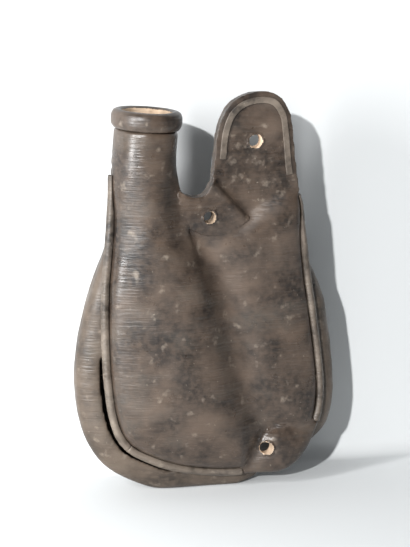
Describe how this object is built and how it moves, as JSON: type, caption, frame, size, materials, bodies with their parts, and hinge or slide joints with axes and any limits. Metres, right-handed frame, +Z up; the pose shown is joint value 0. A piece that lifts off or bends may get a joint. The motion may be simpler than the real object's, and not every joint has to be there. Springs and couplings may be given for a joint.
{
  "type": "pilgrim flask",
  "caption": "Burnished clay flask shaped like a leather water bag, with a round neck, a tall pierced lug, a pierced web, a small lower lug and a beaded seam.",
  "frame": {"origin": "centre of the overall box on the plane the foot stands on", "axes": "+Z up through the neck, -Y the front with the two swells, +X to the right seen from the front"},
  "size_m": [0.1856, 0.071, 0.2813],
  "materials": {
    "burnished_clay": "burnished dark brown to black clay with throwing lines, soot patches, pale bloom and chips",
    "worn_clay": "the same clay rubbed pale and pinkish along its raised edges"
  },
  "bodies": {
    "root": {"back_shell": "burnished_clay", "front_wall": "burnished_clay", "neck": "burnished_clay", "rim_collar": "burnished_clay", "saddle_web": "burnished_clay", "upper_lug": "burnished_clay", "lug_border": "worn_clay", "seam_bead_left": "worn_clay", "seam_bead_bottom": "worn_clay", "lower_lug": "burnished_clay", "seam_bead_right": "worn_clay"}
  },
  "joints": []
}
